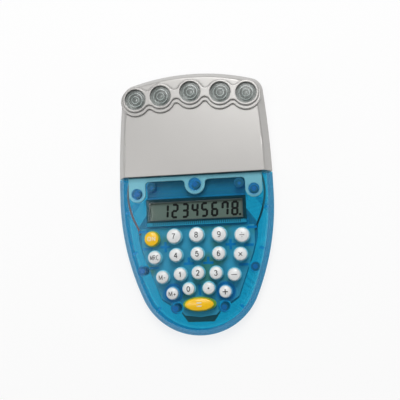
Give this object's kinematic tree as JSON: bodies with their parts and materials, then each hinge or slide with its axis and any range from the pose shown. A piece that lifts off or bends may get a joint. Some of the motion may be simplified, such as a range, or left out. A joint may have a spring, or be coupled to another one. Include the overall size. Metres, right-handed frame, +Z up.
{
  "type": "pocket calculator with a lamp head",
  "caption": "Flat tongue-shaped calculator with a translucent blue keypad body, round keys, a display window and a silver head with a row of round lamps.",
  "frame": {"origin": "middle of the rest face, under the centre of the plan outline", "axes": "+X across the keys, +Y towards the lamp end, +Z up out of the key face"},
  "size_m": [0.075, 0.1274, 0.0139],
  "materials": {
    "blue_clear": "tinted translucent plastic, polished",
    "blue_dark": "tinted plastic",
    "silver": "satin silver paint",
    "silver_grey": "satin silver paint",
    "lens_clear": "clear moulded plastic",
    "reflector": "vacuum metallised",
    "led_clear": "clear epoxy",
    "board_green": "solder mask",
    "switch_black": "moulded",
    "cell_steel": "nickel plated",
    "contact_nickel": "nickel plated strip",
    "mat_rubber": "silicone rubber",
    "chip_epoxy": "black epoxy",
    "lcd_glass": "liquid crystal cell with a grey reflective back",
    "zebra_rubber": "layered silicone",
    "foam": "foam strip",
    "wire_red": "insulated wire",
    "wire_black": "insulated wire",
    "screw_steel": "plated",
    "key_white": "satin",
    "key_orange": "satin"
  },
  "bodies": {
    "case": {"black_wire": "wire_black", "board_screws": "screw_steel", "case_screws": "screw_steel", "chip_cover": "chip_epoxy", "coin_cell_left": "cell_steel", "coin_cell_right": "cell_steel", "contact_negative": "contact_nickel", "contact_pills": "mat_rubber", "contact_positive": "contact_nickel", "display_spacer": "foam", "display_window": "lens_clear", "head_lower_cover": "silver_grey", "head_screws": "screw_steel", "head_upper_cover": "silver", "keypad_mat": "mat_rubber", "lamp_bezel": "silver", "lamp_board": "board_green", "lcd_panel": "lcd_glass", "led_1": "led_clear", "led_2": "led_clear", "led_3": "led_clear", "led_4": "led_clear", "led_5": "led_clear", "lens_plate": "lens_clear", "lower_shell": "blue_dark", "main_board": "board_green", "red_wire": "wire_red", "reflector_block": "reflector", "switch_body": "switch_black", "upper_shell": "blue_clear", "zebra_strip": "zebra_rubber"},
    "key_0_cap": {"key_0": "key_white"},
    "key_1_cap": {"key_1": "key_white"},
    "key_2_cap": {"key_2": "key_white"},
    "key_3_cap": {"key_3": "key_white"},
    "key_4_cap": {"key_4": "key_white"},
    "key_5_cap": {"key_5": "key_white"},
    "key_6_cap": {"key_6": "key_white"},
    "key_7_cap": {"key_7": "key_white"},
    "key_8_cap": {"key_8": "key_white"},
    "key_9_cap": {"key_9": "key_white"},
    "key_divide_cap": {"key_divide": "key_white"},
    "key_equals_cap": {"key_equals": "key_orange"},
    "key_memory_minus_cap": {"key_memory_minus": "key_white"},
    "key_memory_plus_cap": {"key_memory_plus": "key_white"},
    "key_memory_recall_cap": {"key_memory_recall": "key_white"},
    "key_minus_cap": {"key_minus": "key_white"},
    "key_multiply_cap": {"key_multiply": "key_white"},
    "key_on_cap": {"key_on": "key_orange"},
    "key_plus_cap": {"key_plus": "key_white"},
    "key_point_cap": {"key_point": "key_white"},
    "slider": {"switch_slider": "switch_black"},
    "door": {"battery_door": "silver_grey", "contact_link": "contact_nickel"}
  },
  "joints": [
    {"name": "press_0", "type": "slide", "parent": "case", "child": "key_0_cap", "axis": [0, 0, -1], "range_m": [0, 0.001], "stiffness_N_per_m": 800, "deforming": ["keypad_mat"]},
    {"name": "press_1", "type": "slide", "parent": "case", "child": "key_1_cap", "axis": [0, 0, -1], "range_m": [0, 0.001], "stiffness_N_per_m": 800, "deforming": ["keypad_mat"]},
    {"name": "press_2", "type": "slide", "parent": "case", "child": "key_2_cap", "axis": [0, 0, -1], "range_m": [0, 0.001], "stiffness_N_per_m": 800, "deforming": ["keypad_mat"]},
    {"name": "press_3", "type": "slide", "parent": "case", "child": "key_3_cap", "axis": [0, 0, -1], "range_m": [0, 0.001], "stiffness_N_per_m": 800, "deforming": ["keypad_mat"]},
    {"name": "press_4", "type": "slide", "parent": "case", "child": "key_4_cap", "axis": [0, 0, -1], "range_m": [0, 0.001], "stiffness_N_per_m": 800, "deforming": ["keypad_mat"]},
    {"name": "press_5", "type": "slide", "parent": "case", "child": "key_5_cap", "axis": [0, 0, -1], "range_m": [0, 0.001], "stiffness_N_per_m": 800, "deforming": ["keypad_mat"]},
    {"name": "press_6", "type": "slide", "parent": "case", "child": "key_6_cap", "axis": [0, 0, -1], "range_m": [0, 0.001], "stiffness_N_per_m": 800, "deforming": ["keypad_mat"]},
    {"name": "press_7", "type": "slide", "parent": "case", "child": "key_7_cap", "axis": [0, 0, -1], "range_m": [0, 0.001], "stiffness_N_per_m": 800, "deforming": ["keypad_mat"]},
    {"name": "press_8", "type": "slide", "parent": "case", "child": "key_8_cap", "axis": [0, 0, -1], "range_m": [0, 0.001], "stiffness_N_per_m": 800, "deforming": ["keypad_mat"]},
    {"name": "press_9", "type": "slide", "parent": "case", "child": "key_9_cap", "axis": [0, 0, -1], "range_m": [0, 0.001], "stiffness_N_per_m": 800, "deforming": ["keypad_mat"]},
    {"name": "press_divide", "type": "slide", "parent": "case", "child": "key_divide_cap", "axis": [0, 0, -1], "range_m": [0, 0.001], "stiffness_N_per_m": 800, "deforming": ["keypad_mat"]},
    {"name": "press_equals", "type": "slide", "parent": "case", "child": "key_equals_cap", "axis": [0, 0, -1], "range_m": [0, 0.001], "stiffness_N_per_m": 800, "deforming": ["keypad_mat"]},
    {"name": "press_memory_minus", "type": "slide", "parent": "case", "child": "key_memory_minus_cap", "axis": [0, 0, -1], "range_m": [0, 0.001], "stiffness_N_per_m": 800, "deforming": ["keypad_mat"]},
    {"name": "press_memory_plus", "type": "slide", "parent": "case", "child": "key_memory_plus_cap", "axis": [0, 0, -1], "range_m": [0, 0.001], "stiffness_N_per_m": 800, "deforming": ["keypad_mat"]},
    {"name": "press_memory_recall", "type": "slide", "parent": "case", "child": "key_memory_recall_cap", "axis": [0, 0, -1], "range_m": [0, 0.001], "stiffness_N_per_m": 800, "deforming": ["keypad_mat"]},
    {"name": "press_minus", "type": "slide", "parent": "case", "child": "key_minus_cap", "axis": [0, 0, -1], "range_m": [0, 0.001], "stiffness_N_per_m": 800, "deforming": ["keypad_mat"]},
    {"name": "press_multiply", "type": "slide", "parent": "case", "child": "key_multiply_cap", "axis": [0, 0, -1], "range_m": [0, 0.001], "stiffness_N_per_m": 800, "deforming": ["keypad_mat"]},
    {"name": "press_on", "type": "slide", "parent": "case", "child": "key_on_cap", "axis": [0, 0, -1], "range_m": [0, 0.001], "stiffness_N_per_m": 800, "deforming": ["keypad_mat"]},
    {"name": "press_plus", "type": "slide", "parent": "case", "child": "key_plus_cap", "axis": [0, 0, -1], "range_m": [0, 0.001], "stiffness_N_per_m": 800, "deforming": ["keypad_mat"]},
    {"name": "press_point", "type": "slide", "parent": "case", "child": "key_point_cap", "axis": [0, 0, -1], "range_m": [0, 0.001], "stiffness_N_per_m": 800, "deforming": ["keypad_mat"]},
    {"name": "lamp_switch", "type": "slide", "parent": "case", "child": "slider", "axis": [1, 0, 0], "range_m": [0, 0.004]},
    {"name": "door_hinge", "type": "hinge", "parent": "case", "child": "door", "pos_m": [0, 0.01915, 0.0008], "axis": [-1, 0, 0], "range_deg": [0, 90]}
  ]
}
